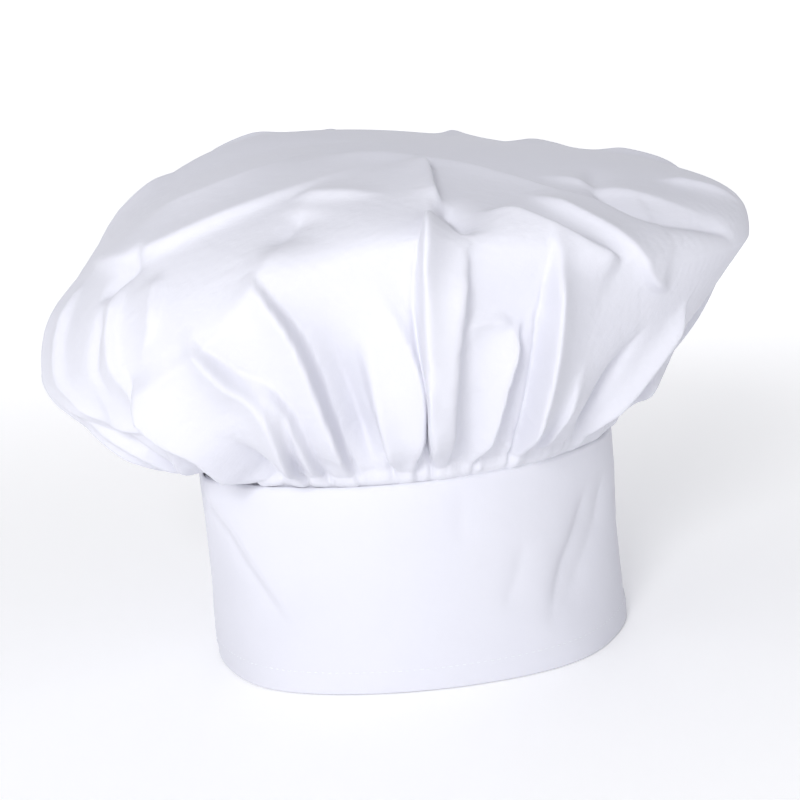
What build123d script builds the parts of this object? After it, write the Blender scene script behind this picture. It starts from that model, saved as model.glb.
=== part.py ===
from build123d import *
from math import cos, pi, radians, sin
import os

# A chef's toque: a cotton crown gathered into a layered headband, closed at the back by a hook-and-loop tab.
# Millimetres. +Z is up, the front faces -Y, and the origin is the centre of the rim that goes round the head.

# Headband, from the outside in: outer cloth, interfacing, facing, and the hem turned up inside it.
BAND_RADIUS = 95.5
BAND_HEIGHT = 92.0
CLOTH = 0.6
INTERFACING = 0.8
HEM_HEIGHT = 12.0
SEAM_ALLOWANCE = 10.0
UNDER_OUTER = BAND_RADIUS - CLOTH
UNDER_INTERFACING = UNDER_OUTER - INTERFACING
FACING_BORE = UNDER_INTERFACING - CLOTH
HEM_BORE = FACING_BORE - CLOTH
TUCKED_EDGE = BAND_HEIGHT - SEAM_ALLOWANCE
INTERFACING_TOP = TUCKED_EDGE - 2.0

# Azimuths are in degrees from +X, anticlockwise from above. The gap is at the back, centred on +Y.
BACK = 90.0
GAP_HALF = 9.0
ROOT_END = BACK + GAP_HALF
FREE_END = BACK - GAP_HALF
END_CAP = 0.36

# Closure tab: sewn over the band's root end, it spans the gap and laps the free end.
TAB_THICKNESS = 1.8
TAB_LOW = 1.0
TAB_HIGH = 90.0
TAB_TIP = 49.0
TAB_LAP_END = 105.0
TAB_INTERFACING_INSET = 2.0
TAB_INTERFACING_TIP = TAB_TIP + 1.5
LOOP_THICKNESS = 1.0
HOOK_THICKNESS = 1.2
HOOK_TO_LOOP = 0.6
LOOP_FACE = BAND_RADIUS + LOOP_THICKNESS
HOOK_FACE = LOOP_FACE + HOOK_TO_LOOP
TAB_BORE = HOOK_FACE + HOOK_THICKNESS
TAB_OUTSIDE = TAB_BORE + TAB_THICKNESS
LAP_OUTSIDE = BAND_RADIUS + TAB_THICKNESS
TAPE_LOW = 11.0
TAPE_HIGH = 81.0
HOOK_SPAN = (51.0, 76.0)
LOOP_SPAN = (46.0, 80.0)

# Binding folded round the crown's raw edge at the gap, and the blank label on the facing
BINDING = 0.2
BINDING_FOLD = 1.0
LABEL = 0.4
LABEL_LOW = 52.0
LABEL_HIGH = 78.0
LABEL_SPAN = (118.0, 134.0)

# Crown: eight stations round the band, anticlockwise from +X, and a curve through them.
#              right  b-right  back  b-left  left  f-left  front  f-right
EDGE_RADIUS = (163.0, 154.0, 140.0, 150.0, 168.0, 153.0, 132.0, 142.0)
EDGE_HEIGHT = (82.0, 92.0, 102.0, 84.0, 37.0, 58.0, 98.0, 80.0)
UNDERSIDE_SAG = (0.0, 0.0, 0.0, 2.0, 5.0, 0.0, 0.0, 0.0)
ROUNDNESS = (0.22, 0.5, 0.9, 0.8, 0.75, 0.8, 1.0, 0.8)
SHOULDER = (0.8, 0.85, 0.75, 0.85, 1.12, 1.0, 0.9, 0.85)
TOP_HEIGHT = 136.0
TOP_RISE_TO_BACK = 0.09
TOP_FALL_TO_RIGHT = 0.10
CROWN_WALL = 1.0
GATHER_RADIUS = 118.0
GATHER_TO_PUFF = 0.4
NECK_ZONE_HEIGHT = 80.0
RING_POINTS = 32
LOWER_RINGS = 6
UPPER_RINGS = 7
LAST_RING = 1.93
FIRST_INSIDE_RING = 0.08
BORE_BELOW_SEAM = 8.0

# Sewing thread
THREAD = 0.25
FINE_THREAD = 0.15
THREAD_WIDTH = 0.45
STITCH = 2.8
STITCH_PITCH = 3.6
EDGE_TO_STITCH = 2.0
EDGE_TO_STITCH_ROUND = 1.2


# ---------------------------------------------------------------- bands and strips

def strip(inner, outer, low, high, start, end):
    """A length of band between two radii, two heights and two azimuths."""
    section = Plane.XZ * Pos((inner + outer) / 2, (low + high) / 2) * Rectangle(outer - inner, high - low)
    return Rot(0, 0, start) * revolve(section, Axis.Z, revolution_arc=end - start)


def around_the_band(inner, outer, low, high, inset=0.0):
    """A strip from the root end the long way round to the free end."""
    return strip(inner, outer, low, high, ROOT_END + inset, FREE_END + 360 - inset)


def headband_outer():
    """The outer cloth: folded under the rim, turned up inside as the hem, and folded in at both ends."""
    wall = around_the_band(UNDER_OUTER, BAND_RADIUS, 0, BAND_HEIGHT)
    rim = around_the_band(HEM_BORE, UNDER_OUTER, 0, CLOTH)
    hem = around_the_band(HEM_BORE, FACING_BORE, CLOTH, HEM_HEIGHT)
    root_cap = strip(FACING_BORE, UNDER_OUTER, CLOTH, INTERFACING_TOP, ROOT_END, ROOT_END + END_CAP)
    free_cap = strip(FACING_BORE, UNDER_OUTER, CLOTH, INTERFACING_TOP, FREE_END - END_CAP, FREE_END)
    return wall + rim + hem + root_cap + free_cap


def headband_interfacing():
    return around_the_band(UNDER_INTERFACING, UNDER_OUTER, CLOTH, INTERFACING_TOP, END_CAP)


def headband_facing():
    return around_the_band(FACING_BORE, UNDER_INTERFACING, CLOTH, BAND_HEIGHT, END_CAP)


def vent_binding():
    """Tape folded round the crown's raw edge where it crosses the gap."""
    low = TUCKED_EDGE - BINDING_FOLD
    outer = strip(UNDER_OUTER, UNDER_OUTER + BINDING, low, BAND_HEIGHT, FREE_END, ROOT_END)
    inner = strip(FACING_BORE, UNDER_INTERFACING, low, BAND_HEIGHT, FREE_END, ROOT_END)
    fold = strip(UNDER_INTERFACING, UNDER_OUTER, low, TUCKED_EDGE, FREE_END, ROOT_END)
    return outer + inner + fold


def care_label():
    """A blank woven label on the facing."""
    return strip(FACING_BORE - LABEL, FACING_BORE, LABEL_LOW, LABEL_HIGH, *LABEL_SPAN)


# ---------------------------------------------------------------- closure

def polar(radius, azimuth):
    return (radius * cos(radians(azimuth)), radius * sin(radians(azimuth)))


def clockwise(azimuth):
    return (sin(radians(azimuth)), -cos(radians(azimuth)))


def tab_curve(depth, tip):
    """The tab's line that far out from its inner face: easing outward over the gap, then round with the band."""
    start = polar(BAND_RADIUS + depth, ROOT_END)
    eased = polar(TAB_BORE + depth, FREE_END - 2)
    middle = polar(TAB_BORE + depth, (FREE_END - 2 + tip) / 2)
    over_gap = Spline(start, eased, tangents=[clockwise(ROOT_END), clockwise(FREE_END - 2)])
    round_band = ThreePointArc(eased, middle, polar(TAB_BORE + depth, tip))
    return over_gap, round_band


def tab_layer(near, far, low, high, tip):
    """A layer of the tab between two depths."""
    inner, outer = tab_curve(near, tip), tab_curve(far, tip)
    root = Line(inner[0] @ 0, outer[0] @ 0)
    end = Line(inner[1] @ 1, outer[1] @ 1)
    outline = make_face([*inner, *outer, root, end])
    return Pos(0, 0, low) * extrude(outline, high - low, dir=(0, 0, 1))


def tab_interfacing():
    low, high = TAB_LOW + TAB_INTERFACING_INSET, TAB_HIGH - TAB_INTERFACING_INSET
    return tab_layer(CLOTH, 2 * CLOTH, low, high, TAB_INTERFACING_TIP)


def closure_tab():
    """The tab's cloth: a flat sleeve round its interfacing."""
    return tab_layer(0, TAB_THICKNESS, TAB_LOW, TAB_HIGH, TAB_TIP) - tab_interfacing()


def tab_lap():
    """The end of the tab that is sewn down on the band."""
    return strip(BAND_RADIUS, LAP_OUTSIDE, TAB_LOW, TAB_HIGH, ROOT_END, TAB_LAP_END)


def hook_tape():
    return strip(HOOK_FACE, TAB_BORE, TAPE_LOW, TAPE_HIGH, *HOOK_SPAN)


def loop_tape():
    return strip(BAND_RADIUS, LOOP_FACE, TAPE_LOW, TAPE_HIGH, *LOOP_SPAN)


# ---------------------------------------------------------------- stitching

def stitch(radius, azimuth, height, upright=False, inside=False, thread=THREAD):
    """One stitch lying on a face at that radius, outside it or inside it."""
    along, across = (THREAD_WIDTH, STITCH) if upright else (STITCH, THREAD_WIDTH)
    side = Align.MAX if inside else Align.MIN
    one = Box(thread, along, across, align=(side, Align.CENTER, Align.CENTER))
    off_face = STITCH**2 / (8 * radius) if inside else 0
    return Rot(0, 0, azimuth) * (Pos(radius - off_face, 0, height) * one)


def row_round(radius, height, start, end, **how):
    """Stitches along an arc at one height."""
    step = STITCH_PITCH / radians(radius)
    count = int((end - start) / step)
    first = (start + end - (count - 1) * step) / 2
    return [stitch(radius, first + i * step, height, **how) for i in range(count)]


def row_up(radius, azimuth, low, high):
    """Stitches up one line."""
    count = int((high - low) / STITCH_PITCH)
    first = (low + high - (count - 1) * STITCH_PITCH) / 2
    return [stitch(radius, azimuth, first + i * STITCH_PITCH, upright=True) for i in range(count)]


def sewn_tape(radius, span):
    """Stitches round the four sides of a tape, just in from its edges."""
    low, high = TAPE_LOW + EDGE_TO_STITCH, TAPE_HIGH - EDGE_TO_STITCH
    start, end = span[0] + 1, span[1] - 1
    sides = []
    for azimuth in (start, end):
        sides += row_up(radius, azimuth, low + EDGE_TO_STITCH, high - EDGE_TO_STITCH)
    for height in (low, high):
        sides += row_round(radius, height, start + EDGE_TO_STITCH_ROUND, end - EDGE_TO_STITCH_ROUND)
    return sides


def stitching():
    """Every row of thread that shows, by node name."""
    hem = row_round(BAND_RADIUS, HEM_HEIGHT - EDGE_TO_STITCH, TAB_LAP_END + 1, LOOP_SPAN[0] + 359)
    lap = []
    for azimuth in (ROOT_END + EDGE_TO_STITCH_ROUND, TAB_LAP_END - EDGE_TO_STITCH_ROUND):
        lap += row_up(LAP_OUTSIDE, azimuth, TAB_LOW + EDGE_TO_STITCH, TAB_HIGH - EDGE_TO_STITCH)
    vent_height = TUCKED_EDGE + EDGE_TO_STITCH
    vent = row_round(UNDER_OUTER + BINDING, vent_height, FREE_END + 2, ROOT_END - 4)
    label_start, label_end = LABEL_SPAN
    label_inside = {"inside": True, "thread": FINE_THREAD}
    label = row_round(FACING_BORE - LABEL, LABEL_HIGH - 2, label_start + 1, label_end - 1, **label_inside)
    return {
        "hem_stitching": hem,
        "hook_tape_stitching": sewn_tape(TAB_OUTSIDE, HOOK_SPAN),
        "loop_tape_stitching": sewn_tape(LOOP_FACE, LOOP_SPAN),
        "tab_lap_stitching": lap,
        "vent_binding_stitching": vent,
        "care_label_stitching": label,
    }


# ---------------------------------------------------------------- crown

def at_station(values, azimuth):
    """A smooth closed curve through the eight station values."""
    count = len(values)
    place = azimuth / (2 * pi) * count % count
    i = int(place)
    t = place - i
    before, here, after, beyond = (values[(i + k) % count] for k in (-1, 0, 1, 2))
    slope = after - before
    bend = 2 * before - 5 * here + 4 * after - beyond
    twist = 3 * here - before - 3 * after + beyond
    return 0.5 * (2 * here + slope * t + bend * t**2 + twist * t**3)


def crown_point(azimuth, along):
    """A point of the crown's outside. along is 0 at the seam, 1 at the widest edge and 2 at the top."""
    radius = at_station(EDGE_RADIUS, azimuth)
    height = at_station(EDGE_HEIGHT, azimuth)
    if along <= 1:
        full = at_station(ROUNDNESS, azimuth)
        quarter = pi / 2 * along
        out = (1 - full) * along + full * sin(quarter)
        up = (1 - full) * along + full * (1 - cos(quarter))
        sag = at_station(UNDERSIDE_SAG, azimuth) * sin(pi * along)
        radius, height = BAND_RADIUS + (radius - BAND_RADIUS) * out, height * up - sag
        return Vector(radius * cos(azimuth), radius * sin(azimuth), BAND_HEIGHT + height)
    quarter = pi / 2 * (along - 1)
    shoulder = at_station(SHOULDER, azimuth)
    in_from_edge = max(cos(quarter), 0.0) ** shoulder
    x = radius * in_from_edge * cos(azimuth)
    y = radius * in_from_edge * sin(azimuth)
    top = TOP_HEIGHT + TOP_RISE_TO_BACK * y - TOP_FALL_TO_RIGHT * x
    return Vector(x, y, BAND_HEIGHT + height + (top - height) * sin(quarter) ** shoulder)


def crown_inside_point(azimuth, along):
    """The point one wall's thickness inside the crown's outside."""
    small = 0.02
    low, high = max(along - small, 0), min(along + small, 2)
    up = crown_point(azimuth, high) - crown_point(azimuth, low)
    across = crown_point(azimuth + small, along) - crown_point(azimuth - small, along)
    return crown_point(azimuth, along) - across.cross(up).normalized() * CROWN_WALL


def crown_ring(point_at, along):
    """A closed curve round the crown."""
    azimuths = [2 * pi * i / RING_POINTS for i in range(RING_POINTS)]
    return Wire([Edge.make_spline([point_at(a, along) for a in azimuths], periodic=True)])


def flat_ring(radius, height):
    """A round ring with its start on +X, like the crown's."""
    return crown_ring(lambda a, _: Vector(radius * cos(a), radius * sin(a), height), 0)


def crown_levels(first):
    lower = [first + (1 - first) * i / LOWER_RINGS for i in range(LOWER_RINGS)]
    upper = [1 + (LAST_RING - 1) * (i / UPPER_RINGS) ** 0.9 for i in range(UPPER_RINGS + 1)]
    return lower + upper


def flat_cap_ring(point_at):
    """The last ring, levelled, so that the loft can close on it."""
    azimuths = [2 * pi * i / RING_POINTS for i in range(RING_POINTS)]
    points = [point_at(a, LAST_RING) for a in azimuths]
    height = sum(p.Z for p in points) / len(points)
    return Wire([Edge.make_spline([Vector(p.X, p.Y, height) for p in points], periodic=True)])


def crown_shell():
    """The crown as one hollow wall, open at the seam."""
    outside = [crown_ring(crown_point, u) for u in crown_levels(0)[:-1]] + [flat_cap_ring(crown_point)]
    bore = BAND_RADIUS - CROWN_WALL
    inside = [flat_ring(bore, BAND_HEIGHT - BORE_BELOW_SEAM), flat_ring(bore, BAND_HEIGHT)]
    inside += [crown_ring(crown_inside_point, u) for u in crown_levels(FIRST_INSIDE_RING)[:-1]]
    inside += [flat_cap_ring(crown_inside_point)]
    return Solid.make_loft(outside) - Solid.make_loft(inside, ruled=True)


def crown_parts():
    """The gathered neck, which stays with the band, and the puff above it."""
    shell = crown_shell()
    neck_space = Pos(0, 0, BAND_HEIGHT) * Cylinder(GATHER_RADIUS, NECK_ZONE_HEIGHT)
    puff_limit = Pos(0, 0, BAND_HEIGHT) * Cylinder(GATHER_RADIUS + GATHER_TO_PUFF, NECK_ZONE_HEIGHT)
    tucked_edge = strip(UNDER_INTERFACING, UNDER_OUTER, TUCKED_EDGE, BAND_HEIGHT, 0, 360)
    return {"crown_gather": (shell & neck_space) + tucked_edge, "crown_puff": shell - puff_limit}


# ---------------------------------------------------------------- the parts

def main():
    parts = {
        "headband_outer": headband_outer(),
        "headband_interfacing": headband_interfacing(),
        "headband_facing": headband_facing(),
        "vent_binding": vent_binding(),
        "care_label": care_label(),
        "closure_tab": closure_tab(),
        "tab_interfacing": tab_interfacing(),
        "tab_lap": tab_lap(),
        "hook_tape": hook_tape(),
        "loop_tape": loop_tape(),
    }
    parts |= crown_parts()
    parts |= {name: Compound(children=rows) for name, rows in stitching().items()}
    os.makedirs("parts", exist_ok=True)
    for name, shape in parts.items():
        export_step(shape, f"parts/{name}.step")


main()
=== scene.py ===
"""The looks of the chef's toque: pleated crown, layered headband, back closure, studio and camera.

Every length is in metres. Azimuths are in degrees from +X, anticlockwise from above, so the front is 270.
"""

import math
import random

import bmesh
import bpy
import numpy as np
from mathutils import Matrix, Vector


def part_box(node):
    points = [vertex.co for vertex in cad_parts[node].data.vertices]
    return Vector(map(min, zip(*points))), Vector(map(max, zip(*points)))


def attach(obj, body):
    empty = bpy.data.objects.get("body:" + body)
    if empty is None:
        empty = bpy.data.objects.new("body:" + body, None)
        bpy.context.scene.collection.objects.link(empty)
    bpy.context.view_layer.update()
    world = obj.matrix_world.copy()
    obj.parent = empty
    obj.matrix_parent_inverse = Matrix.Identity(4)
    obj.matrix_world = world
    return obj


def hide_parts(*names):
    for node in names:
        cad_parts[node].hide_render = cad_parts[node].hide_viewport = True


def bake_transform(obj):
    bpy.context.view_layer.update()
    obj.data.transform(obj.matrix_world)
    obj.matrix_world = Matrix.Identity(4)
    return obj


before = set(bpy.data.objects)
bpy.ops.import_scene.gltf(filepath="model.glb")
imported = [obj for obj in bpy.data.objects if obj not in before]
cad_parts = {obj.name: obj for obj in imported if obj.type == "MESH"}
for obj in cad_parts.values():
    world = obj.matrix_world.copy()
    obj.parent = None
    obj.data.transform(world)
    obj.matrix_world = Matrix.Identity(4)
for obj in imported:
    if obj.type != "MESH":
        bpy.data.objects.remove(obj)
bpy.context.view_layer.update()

MM = 0.001

# ---- sizes, from the frame

BAND_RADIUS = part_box("headband_outer")[1][0]
BAND_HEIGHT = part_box("headband_outer")[1][2]
CLOTH = 0.6 * MM
INTERFACING = 0.8 * MM
SEAM_ALLOWANCE = 10 * MM
HEM_HEIGHT = 12 * MM
FRONT = 270.0
BACK = 90.0
GAP_HALF = 9.0
ROOT_END = BACK + GAP_HALF
FREE_END = BACK - GAP_HALF


def smooth(x, low=0.0, high=1.0):
    """0 below low, 1 above high and a smooth step between, for arrays and numbers."""
    t = np.clip((np.asarray(x, float) - low) / (high - low), 0, 1)
    return t * t * (3 - 2 * t)


def bell(x, width):
    return np.exp(-((np.asarray(x, float) / width) ** 2))


def turn_between(a, b):
    """The signed turn from azimuth b to azimuth a, in degrees, from -180 to 180."""
    return (np.asarray(a, float) - b + 180) % 360 - 180


# ---- mesh helpers

def new_object(name, vertices, faces, material):
    mesh = bpy.data.meshes.new(name)
    mesh.from_pydata([tuple(v) for v in vertices], [], faces)
    mesh.update()
    mesh.polygons.foreach_set("use_smooth", [True] * len(mesh.polygons))
    mesh.materials.append(material)
    piece = bpy.data.objects.new(name, mesh)
    bpy.context.scene.collection.objects.link(piece)
    return piece


def apply_modifiers(piece):
    """Put the result of the piece's modifiers into its mesh."""
    depsgraph = bpy.context.evaluated_depsgraph_get()
    mesh = bpy.data.meshes.new_from_object(piece.evaluated_get(depsgraph))
    old = piece.data
    piece.modifiers.clear()
    piece.data = mesh
    bpy.data.meshes.remove(old)
    return piece


def thicken(piece, thickness):
    """Give a sheet its thickness, half of it to each side."""
    solidify = piece.modifiers.new("thickness", "SOLIDIFY")
    solidify.thickness = thickness
    solidify.offset = 0
    return apply_modifiers(piece)


def subdivide(piece):
    """Divide every face once, with the new points on a smooth surface."""
    subsurf = piece.modifiers.new("subdivision", "SUBSURF")
    subsurf.levels = 1
    subsurf.render_levels = 1
    return apply_modifiers(piece)


def weigh(piece, name, weights, digits):
    """A vertex group with a rounded weight at each vertex."""
    group = piece.vertex_groups.new(name=name)
    rounded_weights = np.round(weights, digits)
    for value in np.unique(rounded_weights):
        group.add([int(i) for i in np.flatnonzero(rounded_weights == value)], float(value), "REPLACE")


def set_uv(piece, coordinates):
    """One UV per vertex, in metres of cloth, so that a weave has its real scale."""
    layer = piece.data.uv_layers.new(name="cloth")
    corner_vertex = np.zeros(len(piece.data.loops), int)
    piece.data.loops.foreach_get("vertex_index", corner_vertex)
    layer.data.foreach_set("uv", np.asarray(coordinates, float)[corner_vertex].ravel())


# ---- crown: the base form

# Eight stations round the band, anticlockwise from +X: right, back-right, back, and so on to front-right.
EDGE_RADIUS = np.array((163.0, 151.0, 138.0, 145.0, 155.0, 147.0, 131.0, 138.0)) * MM
EDGE_HEIGHT = np.array((80.0, 88.0, 102.0, 84.0, 47.0, 62.0, 98.0, 82.0)) * MM
UNDERSIDE_SAG = np.array((0.0, 0.0, 0.0, 1.0, 2.0, 0.0, 0.0, 0.0)) * MM
ROUNDNESS = np.array((0.05, 0.3, 0.6, 0.6, 0.70, 0.6, 0.55, 0.42))
SHOULDER = np.array((0.52, 0.75, 0.75, 0.85, 1.12, 1.0, 0.9, 0.85))
TOP_HEIGHT = 135.0 * MM
TOP_RISE_TO_BACK = 0.09
TOP_FALL_TO_RIGHT = 0.145
SEAM_RADIUS = BAND_RADIUS - 0.7 * MM
SEAM_LIFT = 5.0 * MM
SEAM_LIFT_DONE = 0.07
SEAM_ROLL = 1.3 * MM
SEAM_ROLL_DONE = 0.035
TUCK_PER_LEVEL = 60 * MM
HIGHEST_NORMAL = 1.97


def at_station(values, azimuth):
    """A smooth closed curve through the eight station values."""
    count = len(values)
    place = np.asarray(azimuth, float) / 360 * count % count
    i = np.floor(place).astype(int)
    t = place - i
    before, here, after, beyond = (values[(i + k) % count] for k in (-1, 0, 1, 2))
    bend = 2 * before - 5 * here + 4 * after - beyond
    twist = 3 * here - before - 3 * after + beyond
    return 0.5 * (2 * here + (after - before) * t + bend * t**2 + twist * t**3)


def crown_form(azimuth, level):
    """Points of the crown's base form. level is 0 at the seam, 1 at the widest edge and 2 at the top."""
    azimuth, level = np.broadcast_arrays(np.asarray(azimuth, float), np.asarray(level, float))
    turn = np.radians(azimuth)
    radius = at_station(EDGE_RADIUS, azimuth)
    height = at_station(EDGE_HEIGHT, azimuth)
    full = at_station(ROUNDNESS, azimuth)
    shoulder = at_station(SHOULDER, azimuth)
    up = np.clip(level, 0, 1)
    quarter = math.pi / 2 * up
    lower_radius = SEAM_RADIUS + (radius - SEAM_RADIUS) * ((1 - full) * up + full * np.sin(quarter))
    lower_height = height * ((1 - full) * up + full * (1 - np.cos(quarter)))
    lower_height = lower_height - at_station(UNDERSIDE_SAG, azimuth) * np.sin(math.pi * up)
    quarter = math.pi / 2 * np.clip(level - 1, 0, 1)
    upper_radius = radius * np.maximum(np.cos(quarter), 0) ** shoulder
    x = upper_radius * np.cos(turn)
    y = upper_radius * np.sin(turn)
    top = TOP_HEIGHT + TOP_RISE_TO_BACK * y - TOP_FALL_TO_RIGHT * x
    upper_height = height + (top - height) * np.sin(quarter) ** shoulder
    lower_height = lower_height + SEAM_LIFT * smooth(up, 0.0, SEAM_LIFT_DONE) * (1 - up)
    lower_radius = lower_radius + SEAM_ROLL * smooth(up, 0.0, SEAM_ROLL_DONE)
    upper_radius = upper_radius + SEAM_ROLL * (2 - np.clip(level, 1, 2))
    r = np.where(level <= 1, lower_radius, upper_radius)
    z = np.where(level <= 1, lower_height, upper_height)
    inside_band = np.minimum(level, 0) * TUCK_PER_LEVEL
    return np.stack([r * np.cos(turn), r * np.sin(turn), BAND_HEIGHT + z + inside_band], -1)


def crown_normal(azimuth, level):
    """Outward unit normals of the base form."""
    step = 0.01
    up = crown_form(azimuth, np.minimum(level + step, HIGHEST_NORMAL)) - crown_form(azimuth, level - step)
    across = crown_form(azimuth + 0.5, level) - crown_form(azimuth - 0.5, level)
    normal = np.cross(across, up)
    return normal / np.maximum(np.linalg.norm(normal, axis=-1, keepdims=True), 1e-12)


# ---- crown: folds drawn on the form

# Half the width of a crest's rounding, how many widths from a fold's line the cloth moves, and the share of a
# fold's width and height at its root and its tip, each with the share of its length where that starts or ends.
CREST = 0.9 * MM
REACH = 3.2
ROOT_WIDTH, FULL_WIDTH_AT = 0.3, 0.6
ROOT_RISE, FULL_RISE_AT = 0.12, 0.3
TIP_WIDTH, TIP_FROM = 0.3, 0.68
PINCH_FROM, PINCH_TO = 0.82, 1.02
FADE_FROM = 0.45
PAST_END = 3 * MM
# A valley along the foot of the steep flank of every fold higher than SHALLOW: its depth as a share of the
# fold's height, how many widths of that flank it lies out, and its own width.
FOOT_CREASE, FOOT_AT, FOOT_WIDTH, SHALLOW = 0.22, 2.1, 1.4 * MM, 5 * MM
FULL_LEAN_HEIGHT = 6 * MM


class Fold:
    """A fold along a line of (azimuth, level) points, from its root to its tip.

    height is how far its crest stands out, and a negative one is a valley. soft and steep are the widths of
    its two flanks, the steep one on the side with more azimuth when lean is positive. lean pushes the crest
    over towards its steep side. tip is "pinch" for a peak that ends at once, or "fade". narrow is for a
    pleat, which is thin and low where it leaves the seam.
    """

    def __init__(self, *line, height=6.0, soft=9.0, steep=3.0, lean=2.5, tip="pinch", narrow=True):
        self.line = np.array(line, float)
        self.height = height * MM
        self.soft = soft * MM
        self.steep = steep * MM
        self.lean = lean * MM
        self.tip = tip
        self.narrow = narrow

    def path(self, count=36):
        """The line as a smooth curve of points on the form, with its normals."""
        line = self.line
        ends = np.vstack([2 * line[0] - line[1], line, 2 * line[-1] - line[-2]])
        place = np.linspace(0, len(line) - 1, count)
        i = np.minimum(place.astype(int), len(line) - 2)
        t = (place - i)[:, None]
        a, b, c, d = (ends[i + k] for k in range(4))
        bend = 2 * a - 5 * b + 4 * c - d
        twist = 3 * b - a - 3 * c + d
        curve = 0.5 * (2 * b + (c - a) * t + bend * t**2 + twist * t**3)
        return crown_form(curve[:, 0], curve[:, 1]), crown_normal(curve[:, 0], curve[:, 1])

    def apply(self, points, normals):
        """How far the fold moves each point."""
        path, path_normal = self.path()
        reach = REACH * max(self.soft, self.steep) + abs(self.lean)
        low = path.min(0) - reach
        high = path.max(0) + reach
        near = np.flatnonzero(np.all((points > low) & (points < high), axis=1))
        moved = np.zeros_like(points)
        if not len(near):
            return moved
        p = points[near]
        start = path[:-1]
        run = path[1:] - start
        length = np.linalg.norm(run, axis=1)
        along = np.einsum("psk,sk->ps", p[:, None] - start[None], run) / length**2
        along = np.clip(along, 0, 1)
        away = p[:, None] - (start[None] + along[..., None] * run[None])
        distance = np.linalg.norm(away, axis=2)
        best = distance.argmin(1)
        rows = np.arange(len(p))
        gone = np.concatenate([[0], np.cumsum(length)])
        s = (gone[best] + along[rows, best] * length[best]) / gone[-1]
        direction = run[best] / length[best][:, None]
        normal = path_normal[best]
        across = np.cross(direction, normal)
        offset = away[rows, best]
        side = np.einsum("pk,pk->p", offset, across)
        beyond = np.einsum("pk,pk->p", offset, direction)
        facing = np.einsum("pk,pk->p", normals[near], normal) > 0
        toward_steep = side * (1 if self.lean >= 0 else -1)
        pinched = self.tip == "pinch"
        widen = ROOT_WIDTH + (1 - ROOT_WIDTH) * smooth(s, 0.0, FULL_WIDTH_AT) if self.narrow else 1.0
        pointed = 1 - (1 - TIP_WIDTH) * smooth(s, TIP_FROM, 1.0) if pinched else 1.0
        width = np.where(toward_steep > 0, self.steep, self.soft) * widen * pointed
        profile = np.exp(-(np.hypot(side, CREST) - CREST) / width)
        if self.narrow:
            rise = ROOT_RISE + (1 - ROOT_RISE) * smooth(s, 0.0, FULL_RISE_AT)
        else:
            rise = smooth(s, -0.02, 0.25)
        end = 1 - smooth(s, PINCH_FROM, PINCH_TO) if pinched else 1 - smooth(s, FADE_FROM, 1.0)
        past = bell(np.maximum(np.abs(beyond) - 0.5 * MM, 0), PAST_END)
        amount = profile * rise * end * past * facing
        if self.height > SHALLOW:
            foot = bell(toward_steep - FOOT_AT * self.steep * widen * pointed, FOOT_WIDTH)
            valley = FOOT_CREASE * foot * smooth(s, -0.05, 0.03) * end * past * facing
        else:
            valley = 0.0
        moved[near] = normals[near] * (self.height * (amount - valley))[:, None]
        moved[near] += across * (self.lean * amount * min(abs(self.height) / FULL_LEAN_HEIGHT, 1))[:, None]
        return moved


def crease(*line, height, soft, steep, lean, tip="fade"):
    """A fold that doesn't start at the seam: it rises from nothing and is as wide at its root."""
    return Fold(*line, height=height, soft=soft, steep=steep, lean=lean, tip=tip, narrow=False)


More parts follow.
